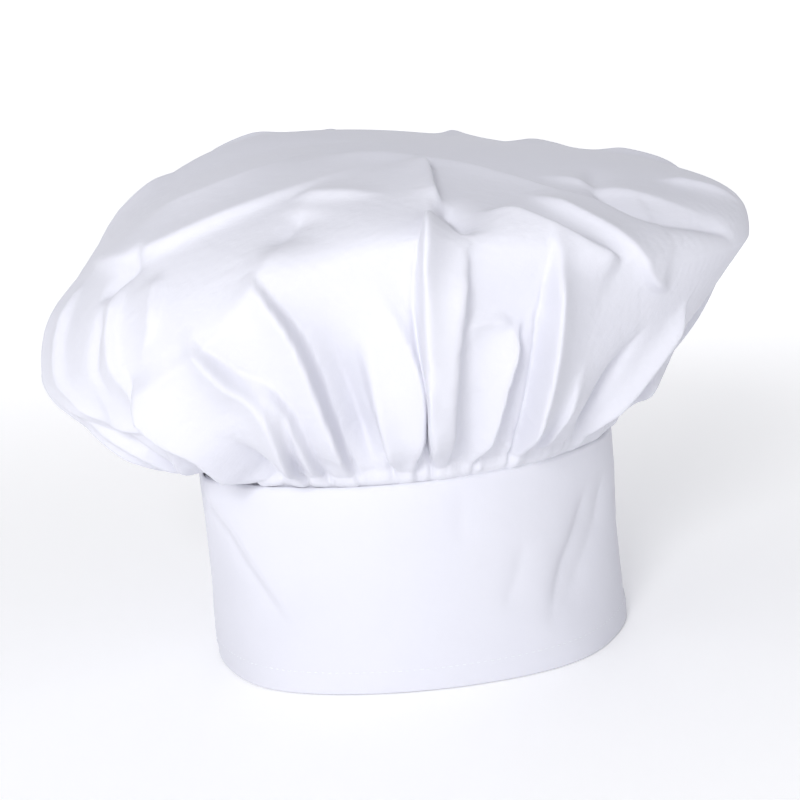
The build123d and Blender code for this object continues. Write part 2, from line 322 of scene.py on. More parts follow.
# The folds that show from the front, left to right: pleats from the seam, and two creases across them.
FRONT_PLEATS = [
    Fold((205, 0.04), (206, 0.45), (202, 0.85), height=4, soft=9, steep=2.2, lean=2, tip="fade"),
    Fold((213, 0.04), (213, 0.45), (207, 0.70), (203, 0.95), height=5, soft=10, steep=2.2, lean=2, tip="fade"),
    Fold((217, 0.04), (219, 0.40), (217, 0.68), (214, 1.00), height=3, soft=8, steep=2.2, lean=-2, tip="fade"),
    Fold((217, 0.14), (222, 0.36), (225, 0.54), (225, 0.71), (223, 0.90), height=5, soft=9, steep=2.4,
         lean=-1.5),
    crease((254, 1.31), (250, 1.09), (244, 0.99), (236, 0.93), (230, 0.89), (223, 0.86), height=5, soft=20,
           steep=9, lean=0, tip="pinch"),
    Fold((232, 0.03), (233, 0.46), (229, 0.68), (225, 0.94), height=9, soft=9, steep=2.6, lean=-3),
    Fold((238, 0.03), (239, 0.40), (236, 0.62), height=-4, soft=4, steep=4, lean=0, tip="fade"),
    Fold((244, 0.03), (245, 0.60), (241, 0.81), (237, 1.03), height=9, soft=9, steep=2.8, lean=3),
    Fold((250, 0.03), (248, 0.57), (245, 0.78), height=6, soft=5, steep=2, lean=2),
    Fold((257, 0.03), (254, 0.54), (252, 0.85), (248, 1.13), height=9, soft=11, steep=2.8, lean=3.5),
    Fold((263, 0.05), (261, 0.50), (259, 0.80), (260, 0.96), height=-7, soft=9, steep=9, lean=0, tip="fade"),
    Fold((268, 0.03), (267, 0.4), (265, 0.7), (264, 0.84), height=7, soft=8, steep=2.2, lean=-2.5, tip="fade"),
    Fold((271, 0.03), (273, 0.50), (271, 0.72), (266, 0.98), height=7, soft=9, steep=4, lean=2, tip="fade"),
    Fold((277, 0.03), (276, 0.50), (277, 0.90), (279, 1.32), height=12, soft=10, steep=2.6, lean=-4),
    Fold((279, 0.03), (279, 0.51), (281, 0.82), (284, 1.06), height=5, soft=6, steep=2, lean=3),
    Fold((285, 0.03), (287, 0.30), (289, 0.56), (292, 0.78), height=6.5, soft=7, steep=2.6, lean=2),
    crease((282, 0.75), (287, 0.77), (291, 0.76), height=2, soft=4, steep=1.5, lean=-1, tip="pinch"),
    Fold((297, 0.03), (298, 0.35), (299, 0.71), (298, 1.10), height=12, soft=10, steep=3.0, lean=-4),
    Fold((304, 0.03), (304, 0.23), (306, 0.39), (307, 0.65), height=5, soft=7, steep=2.4, lean=-2, tip="fade"),
    Fold((316, 0.03), (317, 0.28), (319, 0.52), (323, 0.74), height=-6, soft=6, steep=3.5, lean=0, tip="fade"),
    Fold((319, 0.03), (323, 0.25), (328, 0.54), (333, 0.78), height=6, soft=3.2, steep=2.0, lean=1),
    Fold((323, 0.03), (328, 0.23), (333, 0.48), (338, 0.7), height=-5, soft=2.6, steep=2.6, lean=0, tip="fade"),
    Fold((328, 0.03), (333, 0.22), (338, 0.42), (343, 0.66), height=3.5, soft=3, steep=2, lean=1, tip="fade"),
]

# Creases of the shoulder and the top that show from the front.
TOP_CREASES = [
    crease((192, 1.36), (218, 1.34), (236, 1.45), (261, 1.66), (284, 1.74), height=3.5, soft=16, steep=2,
           lean=2),
    crease((220, 1.37), (218, 1.31), (214, 1.22), height=-4, soft=5, steep=3, lean=0, tip="pinch"),
    crease((283, 1.34), (280, 1.45), (284, 1.72), height=4, soft=12, steep=2.5, lean=3, tip="pinch"),
    crease((281, 1.39), (284, 1.29), (283, 1.10), height=-4, soft=4, steep=4, lean=0, tip="pinch"),
    crease((288, 1.34), (294, 1.25), (304, 1.05), (312, 1.00), height=5, soft=12, steep=3, lean=-2,
           tip="pinch"),
    crease((232, 1.83), (285, 1.75), (305, 1.64), (317, 1.46), (326, 1.30), height=4, soft=14, steep=3,
           lean=-2),
    crease((305, 1.50), (312, 1.19), (318, 0.96), (325, 0.85), height=4, soft=13, steep=3, lean=2, tip="pinch"),
    crease((345, 1.72), (327, 1.53), (324, 1.34), (332, 1.19), (342, 1.00), height=-3, soft=6, steep=3, lean=0,
           tip="pinch"),
    crease((202, 1.51), (217, 1.56), (226, 1.70), (222, 1.86), height=2.5, soft=12, steep=2.5, lean=-1),
    crease((249, 1.52), (262, 1.48), (273, 1.44), height=2.5, soft=9, steep=3, lean=1.5),
    crease((254, 1.44), (251, 1.30), (249, 1.16), height=-3, soft=9, steep=4, lean=0),
    crease((219, 1.30), (221, 1.04), (224, 0.80), (230, 0.55), height=3.5, soft=8, steep=1.8, lean=-2),
    crease((228, 1.28), (230, 1.10), (227, 1.00), height=2.5, soft=7, steep=1.8, lean=-1.5),
    crease((216, 1.20), (216, 0.98), (219, 0.80), height=-2.5, soft=4, steep=2, lean=0),
    crease((200, 1.30), (204, 1.05), (210, 0.85), (218, 0.62), height=3.5, soft=8, steep=1.8, lean=-2),
    crease((206, 0.98), (212, 0.80), (222, 0.62), (229, 0.48), height=3, soft=7, steep=1.8, lean=2),
    crease((186, 1.30), (194, 1.10), (203, 0.88), (220, 0.50), height=3.5, soft=8, steep=1.8, lean=2),
    crease((172, 1.25), (184, 1.02), (196, 0.80), (212, 0.50), height=3, soft=8, steep=1.8, lean=-2),
]


def side_and_back_pleats(chance):
    """The pleats that the front list leaves out, from the right round the back to the left."""
    first, spacing = 337, 11.5
    pleats = []
    for i in range(19):
        root = first + spacing * i + chance.uniform(-2, 2)
        lean = chance.choice((-1, 1, 1)) * chance.uniform(2.5, 4.5)
        sweep = chance.uniform(-7, 7)
        outer = 2 <= i <= 14
        top = chance.uniform(0.75, 1.25) if outer else chance.uniform(0.5, 0.75)
        line = ((root, 0.04), (root + 0.35 * sweep, 0.42), (root + sweep, top))
        height = chance.uniform(4.5, 8) if outer else 3.0
        pleats.append(Fold(*line, height=height, soft=chance.uniform(7, 12), steep=chance.uniform(2.0, 3.0),
                           lean=lean, tip="fade"))
    return pleats


def seam_gathers(chance):
    """The small gathers between the pleats, where the cloth goes into the band."""
    gathers = []
    azimuth = 0.0
    while azimuth < 360:
        drift = chance.uniform(-2.5, 2.5)
        gathers.append(crease((azimuth, 0.0), (azimuth + drift, chance.uniform(0.10, 0.26)),
                              height=chance.uniform(0.6, 1.5), soft=chance.uniform(2.5, 4.5), steep=1.4,
                              lean=chance.choice((-1, 1))))
        azimuth += chance.uniform(3.5, 7.5)
    return gathers


def back_creases(chance):
    """Slack creases over the shoulder at the sides and the back."""
    first, spacing = -25, 24
    creases = []
    for i in range(9):
        azimuth = first + spacing * i + chance.uniform(-6, 6)
        high = chance.uniform(1.5, 1.8)
        low = chance.uniform(1.0, 1.25)
        drift = chance.uniform(-22, 22)
        line = ((azimuth + drift, high), (azimuth + 0.5 * drift, 0.5 * (high + low)), (azimuth, low))
        creases.append(crease(*line, height=chance.uniform(1.5, 3), soft=chance.uniform(9, 15),
                              steep=chance.uniform(3, 4), lean=chance.choice((-1, 1))))
    return creases


# ---- crown: mesh

AROUND = 448
LOW_LEVELS = 68
HIGH_LEVELS = 56
LAST_LEVEL = 1.985
TUCKED_LEVELS = (-0.16, -0.1, -0.04)
FEWEST_AROUND = 24
HALVE_BELOW = 0.55
PATTERN_SEED = 7


def crown_rows():
    """The level of each ring of vertices and how many vertices it has, from the seam to the top."""
    levels = list(TUCKED_LEVELS) + [i / LOW_LEVELS for i in range(LOW_LEVELS)]
    levels += [1 + (LAST_LEVEL - 1) * i / HIGH_LEVELS for i in range(HIGH_LEVELS + 1)]
    rows = []
    count = AROUND
    for level in levels:
        reach = np.linalg.norm(crown_form(0.0, level)[:2])
        while level > 1 and count > FEWEST_AROUND and reach < EDGE_RADIUS[0] * HALVE_BELOW * count / AROUND:
            count //= 2
        rows.append((level, count))
    return rows


def crown_grid():
    """The azimuth and level of each vertex, and the faces."""
    rows = crown_rows()
    azimuth = np.concatenate([360 * np.arange(n) / n for _, n in rows] + [[0.0]])
    level = np.concatenate([np.full(n, lv) for lv, n in rows] + [[2.0]])
    starts = np.concatenate([[0], np.cumsum([n for _, n in rows])])
    faces = []
    for r in range(len(rows) - 1):
        a, n = starts[r], rows[r][1]
        b, m = starts[r + 1], rows[r + 1][1]
        for i in range(m):
            j = (i + 1) % m
            if n == m:
                faces.append((a + i, a + j, b + j, b + i))
            else:
                faces.append((a + 2 * i, a + 2 * i + 1, b + i))
                faces.append((a + 2 * i + 1, a + (2 * i + 2) % n, b + j, b + i))
    a, n = starts[-2], rows[-1][1]
    faces += [(a + i, a + (i + 1) % n, starts[-1]) for i in range(n)]
    return azimuth, level, [tuple(int(v) for v in f) for f in faces]


def crown_points(azimuth, level):
    """The base form with all its folds."""
    chance = random.Random(PATTERN_SEED)
    points = crown_form(azimuth, level)
    normals = crown_normal(azimuth, np.minimum(level, 1.96))
    behind = side_and_back_pleats(chance) + back_creases(chance)
    folds = FRONT_PLEATS + TOP_CREASES + behind + seam_gathers(chance)
    return points + sum(fold.apply(points, normals) for fold in folds)


CROWN_CUT = 0.57


def flat_pattern(azimuth, level):
    """Where each vertex lies in the flat round cut."""
    from_top = (2 - level) / 2 * CROWN_CUT / 2
    turn = np.radians(azimuth)
    return np.stack([from_top * np.cos(turn), from_top * np.sin(turn)], -1)


# How firmly the cloth is held in the simulation, how much too large it is, and the share of the drawn folds
# that is added again afterwards.
HOLD = 0.45
SLACK = 0.013
SHARPEN = 0.45
# The share of smoothing after the simulation, below the shoulder and on the top.
CALM_LOW, CALM_HIGH = 0.2, 0.9
SEWN_BELOW = 0.03
COTTON_CLOTH = {
    "quality": 6, "mass": 0.15, "air_damping": 2, "pin_stiffness": 1.0,
    "tension_stiffness": 12, "compression_stiffness": 12, "shear_stiffness": 4, "bending_stiffness": 0.7,
    "tension_damping": 6, "compression_damping": 6, "bending_damping": 0.6,
}


def settle(piece, hold, slack, frames=16):
    """Let the cloth find its own wrinkles: a little too much cloth, held near where it is by weights."""
    weigh(piece, "hold", hold, 2)
    cloth = piece.modifiers.new("cloth", "CLOTH")
    for key, value in COTTON_CLOTH.items():
        setattr(cloth.settings, key, value)
    cloth.settings.shrink_min = -slack
    cloth.settings.vertex_group_mass = "hold"
    cloth.settings.effector_weights.gravity = 0.1
    cloth.collision_settings.use_collision = False
    cloth.point_cache.frame_start = 1
    cloth.point_cache.frame_end = frames
    scene = bpy.context.scene
    for number in range(1, frames + 1):
        scene.frame_set(number)
    apply_modifiers(piece)
    scene.frame_set(1)
    piece.vertex_groups.clear()
    return piece


def calm(piece, amount):
    """Smooth out the wrinkles that are as fine as the mesh, by that amount at each vertex."""
    weigh(piece, "calm", amount, 1)
    smoothing = piece.modifiers.new("calm", "SMOOTH")
    smoothing.factor = 0.5
    smoothing.iterations = 8
    smoothing.vertex_group = "calm"
    apply_modifiers(piece)
    piece.vertex_groups.clear()


def build_crown(material):
    """The crown: folds drawn on the form, settled as cloth, and made finer."""
    azimuth, level, faces = crown_grid()
    drawn = crown_points(azimuth, level)
    piece = new_object("crown_cloth", drawn, faces, material)
    set_uv(piece, flat_pattern(azimuth, level))
    settle(piece, np.where(level < SEWN_BELOW, 1.0, HOLD), SLACK)
    calming = CALM_LOW + (CALM_HIGH - CALM_LOW) * smooth(level, 1.35, 1.75)
    calm(piece, np.where(level < 0.05, 0.0, calming))
    settled = np.zeros(drawn.size)
    piece.data.vertices.foreach_get("co", settled)
    settled = settled.reshape(drawn.shape)
    sharpened = settled + SHARPEN * (drawn - crown_form(azimuth, level))
    piece.data.vertices.foreach_set("co", sharpened.ravel())
    piece.data.update()
    subdivide(piece)
    return piece


# ---- headband: how the round band is worn out of round

HEM_STITCH_HEIGHT = 10 * MM
CREASE_EDGE = 0.8 * MM


def wear(azimuth, height):
    """How far the worn band stands out of its round form at that azimuth and height."""
    azimuth = np.asarray(azimuth, float)
    height = np.asarray(height, float)
    down = np.clip(1 - height / BAND_HEIGHT, 0, 1)
    flat_front = bell(turn_between(azimuth, FRONT), 36) * down**1.4
    front_corners = (bell(turn_between(azimuth, 224), 16) + bell(turn_between(azimuth, 316), 18)) * down
    slow_waves = np.sin(np.radians(3 * azimuth + 40)) * bell(height - 50 * MM, 40 * MM)
    pucker = (0.7 + 0.3 * np.sin(np.radians(azimuth * 57))) * bell(height - HEM_STITCH_HEIGHT, 0.8 * MM)
    hem_edge = bell(turn_between(azimuth, 352), 14) * (1 - smooth(height, 9 * MM, HEM_HEIGHT))
    out = (-7 * flat_front + 2.5 * front_corners + 0.6 * slow_waves - 0.35 * pucker + hem_edge) * MM
    return out - sum(band_crease(azimuth, height, *crease) for crease in BAND_CREASES)


# Creases pressed into the band: points of (azimuth, height in mm), how deep in mm, and the widths in mm of
# the flanks to the left and the right of the line as it runs down.
BAND_CREASES = [
    (((196, 92), (211, 84), (222, 72), (233, 50), (239, 24)), -7.5, 22.0, 40.0),
    (((192, 90), (207, 82), (219, 69), (230, 47), (236, 24)), 2.4, 3.5, 4.5),
    (((326, 76), (321, 60), (313, 44), (304, 17)), 3.4, 15.0, 5.0),
    (((337, 80), (331, 56), (318, 36), (309, 24)), 3.0, 9.0, 16.0),
    (((300, 60), (296, 42), (292, 30)), 1.2, 8.0, 4.0),
    (((284, 88), (282, 70), (284, 58)), 0.7, 7.0, 4.0),
    (((264, 46), (262, 30), (264, 22)), 0.6, 8.0, 4.0),
    (((350, 70), (356, 45), (4, 22)), 1.6, 4.0, 10.0),
    (((28, 84), (20, 60), (16, 40)), 1.5, 9.0, 3.0),
    (((140, 80), (150, 56), (156, 34)), 1.6, 4.0, 11.0),
    (((176, 60), (184, 44), (190, 22)), 1.4, 9.0, 4.0),
]


def band_crease(azimuth, height, line, deep, left, right):
    """How far one crease stands in from the band: deepest on its line, with a flank on each side."""
    middle = line[len(line) // 2][0]
    x = np.radians(turn_between(azimuth, middle)) * BAND_RADIUS
    points = np.array([(math.radians(float(turn_between(a, middle))) * BAND_RADIUS, h * MM) for a, h in line])
    lengths = np.linalg.norm(np.diff(points, axis=0), axis=1)
    gone = np.concatenate([[0], np.cumsum(lengths)]) / lengths.sum()
    best = np.full(np.shape(x), np.inf)
    side = np.zeros(np.shape(x))
    along = np.zeros(np.shape(x))
    for i, (start, stop) in enumerate(zip(points, points[1:])):
        run = stop - start
        t = np.clip(((x - start[0]) * run[0] + (height - start[1]) * run[1]) / (run @ run), 0, 1)
        dx = x - start[0] - t * run[0]
        dy = height - start[1] - t * run[1]
        away = np.hypot(dx, dy)
        closer = away < best
        best = np.where(closer, away, best)
        side = np.where(closer, np.sign(run[0] * dy - run[1] * dx), side)
        along = np.where(closer, gone[i] + t * (gone[i + 1] - gone[i]), along)
    width = np.where(side > 0, left, right) * MM
    fade = smooth(along, 0, 0.25) * (1 - smooth(along, 0.7, 1.0))
    return deep * MM * np.exp(-(np.hypot(best, CREASE_EDGE) - CREASE_EDGE) / width) * fade


def on_band(azimuth, height, radius):
    """Points on the worn band, and with a larger or smaller radius on what lies over or under it."""
    azimuth, height, radius = np.broadcast_arrays(*(np.asarray(v, float) for v in (azimuth, height, radius)))
    turn = np.radians(azimuth)
    out = radius + wear(azimuth, height)
    return np.stack([out * np.cos(turn), out * np.sin(turn), height], -1)


BEND = 0.4 * MM
SECTION_STEP = 2.2 * MM
COLUMN_TURN = 1.0


def rounded(corners, radius):
    """A line of (radius, height) points through the corners, with its inner corners rounded."""
    corners = np.array(corners, float)
    line = [corners[0]]
    for before, corner, after in zip(corners, corners[1:], corners[2:]):
        into = (before - corner) / np.linalg.norm(before - corner) * radius
        out = (after - corner) / np.linalg.norm(after - corner) * radius
        for t in np.linspace(0, 1, 4):
            line.append(corner + (1 - t) ** 2 * into + t**2 * out)
    line.append(corners[-1])
    dense = [line[0]]
    for a, b in zip(line, line[1:]):
        count = max(int(round(np.linalg.norm(b - a) / SECTION_STEP)), 1)
        dense += [a + (b - a) * t for t in np.linspace(0, 1, count + 1)[1:]]
    return np.array(dense)


def grid_faces(columns, rows):
    corners = (c * rows + r for c in range(columns - 1) for r in range(rows - 1))
    return [(a, a + rows, a + rows + 1, a + 1) for a in corners]


def band_cloth(name, corners, start, end, thickness, material):
    """A sheet with that section, swept round the worn band between two azimuths, and given its thickness."""
    section = rounded(corners, BEND)
    columns = int((end - start) / COLUMN_TURN) + 2
    azimuth = np.repeat(np.linspace(start, end, columns), len(section))
    radius = np.tile(section[:, 0], columns)
    height = np.tile(section[:, 1], columns)
    piece = new_object(name, on_band(azimuth, height, radius), grid_faces(columns, len(section)), material)
    along = np.concatenate([[0], np.cumsum(np.linalg.norm(np.diff(section, axis=0), axis=1))])
    set_uv(piece, np.stack([np.radians(azimuth) * BAND_RADIUS, np.tile(along, columns)], -1))
    return thicken(piece, thickness)


OUTER = BAND_RADIUS - CLOTH / 2
STIFFENER = BAND_RADIUS - CLOTH - INTERFACING / 2
FACING = BAND_RADIUS - CLOTH - INTERFACING - CLOTH / 2
HEM = FACING - CLOTH
ROUND_BAND = (ROOT_END, FREE_END + 360)


def build_headband(cloth, stiffener):
    """The outer cloth with its hem turned up inside, the facing, and the stiffener between them."""
    top = BAND_HEIGHT
    above_fold = 2 * CLOTH
    stiffener_top = top - SEAM_ALLOWANCE - 2 * MM
    outer_section = [(OUTER, top), (OUTER, CLOTH / 2), (HEM, CLOTH / 2), (HEM, HEM_HEIGHT)]
    outer = band_cloth("band_outer_cloth", outer_section, *ROUND_BAND, CLOTH, cloth)
    facing = band_cloth("band_facing_cloth", [(FACING, above_fold), (FACING, top)], *ROUND_BAND, CLOTH, cloth)
    inner = band_cloth("band_stiffener", [(STIFFENER, above_fold), (STIFFENER, stiffener_top)],
                       ROUND_BAND[0] + 0.4, ROUND_BAND[1] - 0.4, INTERFACING, stiffener)
    return outer, facing, inner


def build_end_folds(cloth):
    """The outer cloth turned in over the layers at both ends of the band."""
    rows = np.linspace(1.0 * MM, BAND_HEIGHT - 12 * MM, 36)
    folds = []
    for name, azimuth in (("band_root_fold", ROOT_END), ("band_free_fold", FREE_END)):
        inward = 1 if azimuth == ROOT_END else -1
        radii = np.array([OUTER, OUTER, STIFFENER, FACING, FACING])
        shift = np.array([2.5, 0, -0.15, 0, 2.5]) * inward
        points = np.concatenate([on_band(azimuth + d, rows, r) for r, d in zip(radii, shift)])
        fold = new_object(name, points, grid_faces(len(radii), len(rows)), cloth)
        set_uv(fold, np.stack([np.repeat(np.arange(5) * 2 * MM, len(rows)), np.tile(rows, 5)], -1))
        folds.append(thicken(fold, 0.35 * MM))
    return folds


def build_vent_binding(cloth):
    """The bias tape folded over the crown's raw edge across the gap."""
    edge = BAND_HEIGHT - SEAM_ALLOWANCE - 1 * MM
    section = [(OUTER, BAND_HEIGHT + 1 * MM), (OUTER, edge), (FACING, edge), (FACING, BAND_HEIGHT)]
    return band_cloth("vent_bias_tape", section, FREE_END + 0.3, ROOT_END - 0.3, 0.35 * MM, cloth)


# ---- closure

TAB_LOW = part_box("closure_tab")[0][2]
TAB_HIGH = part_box("closure_tab")[1][2]
TAB_TIP = 49.0
TAB_LAP_END = 105.0
TAPE_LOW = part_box("hook_tape")[0][2]
TAPE_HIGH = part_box("hook_tape")[1][2]
HOOK_SPAN = (51.0, 76.0)
LOOP_SPAN = (46.0, 80.0)
LOOP_THICKNESS = 1.0 * MM
HOOK_THICKNESS = 1.2 * MM
TAB_CLEARANCE = 2.8 * MM
TAB_THICKNESS = 1.8 * MM
TAB_SPREAD = 20
LABEL_SPAN = (118, 134)
LABEL_LOW = 52 * MM
LABEL_HIGH = 78 * MM


def tab_radius(azimuth):
    """The radius of the tab's inner face: on the band at its root, and clear of the tapes past the gap."""
    past_root = ROOT_END - np.asarray(azimuth, float)
    return BAND_RADIUS + 0.05 * MM + TAB_CLEARANCE * smooth(past_root, 0, TAB_SPREAD)


def tab_face(azimuth, height, depth):
    """Points of the tab at that depth outside its inner face."""
    return on_band(azimuth, height, tab_radius(azimuth) + depth)


def two_faced(name, front, back, columns, azimuth, height, material):
    """A closed piece between two grids of points, with an edge all round."""
    total = len(front)
    rows = total // columns
    sheet = grid_faces(columns, rows)
    border = [i * rows for i in range(columns)] + [(columns - 1) * rows + i for i in range(1, rows)]
    border += [i * rows + rows - 1 for i in range(columns - 2, -1, -1)] + list(range(rows - 2, 0, -1))
    faces = sheet + [tuple(v + total for v in f[::-1]) for f in sheet]
    faces += [(a, b, b + total, a + total) for a, b in zip(border, border[1:] + border[:1])]
    piece = new_object(name, np.concatenate([front, back]), faces, material)
    flat = np.stack([np.radians(azimuth) * BAND_RADIUS, height], -1)
    set_uv(piece, np.concatenate([flat, flat]))
    mesh = bmesh.new()
    mesh.from_mesh(piece.data)
    bmesh.ops.recalc_face_normals(mesh, faces=mesh.faces)
    mesh.to_mesh(piece.data)
    mesh.free()
    return piece


def build_tab(cloth):
    """The tab: two layers with their edges turned in, a little fuller between the rows of stitching."""
    columns = 54
    rows = 46
    c = np.repeat(np.linspace(0, 1, columns), rows)
    r = np.tile(np.linspace(0, 1, rows), columns)
    corner = 6 * MM
    azimuth = TAB_LAP_END + (TAB_TIP - TAB_LAP_END) * c
    height = TAB_LOW + (TAB_HIGH - TAB_LOW) * r
    from_tip = np.radians(azimuth - TAB_TIP) * BAND_RADIUS
    from_side = np.minimum(height - TAB_LOW, TAB_HIGH - height)
    cut = np.clip(corner - from_tip, 0, corner)
    room = corner - np.sqrt(np.maximum(corner**2 - cut**2, 0))
    middle = (TAB_LOW + TAB_HIGH) / 2
    height = middle + (height - middle) * (1 - room / ((TAB_HIGH - TAB_LOW) / 2))
    edge = np.minimum(from_side, np.minimum(from_tip, np.radians(TAB_LAP_END - azimuth) * BAND_RADIUS))
    full = 0.35 + 0.65 * smooth(edge, -0.2 * MM, 1.2 * MM)
    groove = 0.25 * MM * bell(edge - 3.5 * MM, 0.7 * MM)
    ripple = 0.25 * MM * np.sin(azimuth * 0.9) * np.sin(height * 90) * smooth(edge, 4 * MM, 12 * MM)
    half = TAB_THICKNESS / 2
    outer = tab_face(azimuth, height, half + half * full - groove + ripple)
    inner = tab_face(azimuth, height, half - half * full)
    return two_faced("closure_tab_cloth", outer, inner, columns, azimuth, height, cloth)


def tape(name, face, near, far, span, material, pile):
    """A tape with square edges and a pile of small bumps on its free face."""
    columns = int((span[1] - span[0]) * 1.1) + 2
    rows = int((TAPE_HIGH - TAPE_LOW) / (1.6 * MM)) + 2
    azimuth = np.repeat(np.linspace(*span, columns), rows)
    height = np.tile(np.linspace(TAPE_LOW, TAPE_HIGH, rows), columns)
    chance = np.random.default_rng(3)
    rough = chance.uniform(0, pile, len(azimuth))
    free = face(azimuth, height, far - rough if far > near else far + rough)
    back = face(azimuth, height, near)
    return two_faced(name, free, back, columns, azimuth, height, material)


def band_face(azimuth, height, depth):
    return on_band(azimuth, height, BAND_RADIUS + depth)


def facing_face(azimuth, height, depth):
    return on_band(azimuth, height, FACING - CLOTH / 2 - depth)


def build_label(material):
    """A blank woven label sewn to the facing, its lower edge a little lifted."""
    columns = 22
    rows = 24
    azimuth = np.repeat(np.linspace(*LABEL_SPAN, columns), rows)
    height = np.tile(np.linspace(LABEL_LOW, LABEL_HIGH, rows), columns)
    curl = (1 - smooth(height, LABEL_LOW, LABEL_LOW + 14 * MM)) * bell(azimuth - 127, 7)
    lift = 0.35 * MM + 0.9 * MM * curl
    points = facing_face(azimuth, height, lift)
    piece = new_object("blank_care_label", points, grid_faces(columns, rows), material)
    set_uv(piece, np.stack([np.radians(azimuth) * BAND_RADIUS, height], -1))
    return thicken(piece, 0.25 * MM)


# ---- stitching

THREAD_RADIUS = 0.24 * MM
STITCH = 2.4 * MM
PITCH = 3.2 * MM


def stitch_line(face, start, end, depth):
    """Centres and directions of the stitches between two (azimuth, height) points on a face."""
    a, b = np.array(start, float), np.array(end, float)
    span = np.linalg.norm((b - a) * (math.radians(1) * BAND_RADIUS, 1))
    count = max(int(span / PITCH), 1)
    t = (np.arange(count) + 0.5) / count
    places = a + (b - a) * t[:, None]
    ahead = places + (b - a) * 0.4 * STITCH / span
    behind = places - (b - a) * 0.4 * STITCH / span
    return [(face(*p, depth), face(*q, depth) - face(*o, depth)) for p, q, o in zip(places, ahead, behind)]


def rectangle(face, low, high, start, end, depth):
    """The stitches round a rectangle on a face."""
    corners = [(start, low), (end, low), (end, high), (start, high)]
    lines = []
    for a, b in zip(corners, corners[1:] + corners[:1]):
        lines += stitch_line(face, a, b, depth)
    return lines


def sew(name, stitches, material):
    """One mesh of all the stitches: each a short bead of thread with its ends sunk in the cloth."""
    sides = 6
    rings = 6
    vertices = []
    faces = []
    for place, direction in stitches:
        ahead = Vector(direction).normalized()
        outward = Vector((place[0], place[1], 0)).normalized()
        across = ahead.cross(outward).normalized()
        outward = across.cross(ahead)
        start = len(vertices)
        for i in range(rings + 1):
            t = 2 * i / rings - 1
            thick = THREAD_RADIUS * math.sqrt(max(1 - abs(t) ** 3, 0.06))
            centre = Vector(place) + ahead * (t * STITCH / 2) - outward * (THREAD_RADIUS * (0.3 + 0.9 * t**4))
            for k in range(sides):
                angle = 2 * math.pi * k / sides
                round_thread = across * (thick * math.cos(angle)) + outward * (thick * math.sin(angle))
                vertices.append(centre + round_thread)
        for i in range(rings):
            for k in range(sides):
                a = start + i * sides + k
                b = start + i * sides + (k + 1) % sides
                faces.append((a, b, b + sides, a + sides))
        faces.append(tuple(start + k for k in range(sides))[::-1])
        faces.append(tuple(start + rings * sides + k for k in range(sides)))
    return new_object(name, vertices, faces, material)


def build_stitching(thread):
    """Every row of stitching, by the CAD node that it replaces."""
    tab_outside = TAB_THICKNESS + 0.1 * MM
    loop_face = LOOP_THICKNESS + 0.1 * MM
    hook_low, hook_high = TAPE_LOW + 2 * MM, TAPE_HIGH - 2 * MM
    hem_ends = [(TAB_LAP_END + 1, HEM_STITCH_HEIGHT), (LOOP_SPAN[0] + 359, HEM_STITCH_HEIGHT)]
    hem = stitch_line(band_face, *hem_ends, 0.1 * MM)
    hook = rectangle(tab_face, hook_low, hook_high, HOOK_SPAN[0] + 1, HOOK_SPAN[1] - 1, tab_outside)
    loop = rectangle(band_face, hook_low, hook_high, LOOP_SPAN[0] + 1, LOOP_SPAN[1] - 1, loop_face)
    lap_low, lap_high = TAB_LOW + 3.5 * MM, TAB_HIGH - 3.5 * MM
    lap = rectangle(tab_face, lap_low, lap_high, ROOT_END + 1.2, TAB_LAP_END - 1.6, tab_outside)
    vent_height = BAND_HEIGHT - SEAM_ALLOWANCE + 2 * MM
    vent = stitch_line(band_face, (FREE_END + 1.5, vent_height), (ROOT_END - 1.5, vent_height), 0)
    label_height = LABEL_HIGH - 2 * MM
    label_ends = [(LABEL_SPAN[0] + 1, label_height), (LABEL_SPAN[1] - 1, label_height)]
    label = stitch_line(facing_face, *label_ends, 0.7 * MM)
    return {
        "hem_stitching": sew("hem_thread", hem, thread),
        "hook_tape_stitching": sew("hook_tape_thread", hook, thread),
        "loop_tape_stitching": sew("loop_tape_thread", loop, thread),
        "tab_lap_stitching": sew("tab_lap_thread", lap, thread),
        "vent_binding_stitching": sew("vent_binding_thread", vent, thread),
        "care_label_stitching": sew("care_label_thread", label, thread),
    }


# ---- materials

def principled(name, color, roughness, sheen=0.0):
    """A new material with its node tree and its shader."""
    material = bpy.data.materials.new(name)
    material.use_nodes = True
    shader = material.node_tree.nodes["Principled BSDF"]
    shader.inputs["Base Color"].default_value = (*color, 1)
    shader.inputs["Roughness"].default_value = roughness
    shader.inputs["Sheen Weight"].default_value = sheen
    shader.inputs["Sheen Roughness"].default_value = 0.5
    shader.inputs["Specular IOR Level"].default_value = 0.3
    return material, material.node_tree, shader


def node(tree, kind, inputs=(), **settings):
    """A node with its settings, and with each input set to a value or linked to a socket."""
    made = tree.nodes.new(kind)
    for key, value in settings.items():
        setattr(made, key, value)
    for key, value in dict(inputs).items():
        if isinstance(value, bpy.types.NodeSocket):
            tree.links.new(value, made.inputs[key])
        else:
            made.inputs[key].default_value = value
    return made


def math_node(tree, operation, a, b=0.0):
    return node(tree, "ShaderNodeMath", {0: a, 1: b}, operation=operation).outputs[0]


def noise(tree, place, scale, detail, roughness=0.5):
    inputs = {"Vector": place, "Scale": scale, "Detail": detail, "Roughness": roughness}
    return node(tree, "ShaderNodeTexNoise", inputs).outputs[0]


def mixed_color(tree, factor, first, second):
    mix = node(tree, "ShaderNodeMix", data_type="RGBA")
    tree.links.new(factor, mix.inputs[0])
    mix.inputs[6].default_value = (*first, 1)
    mix.inputs[7].default_value = (*second, 1)
    return mix.outputs[2]


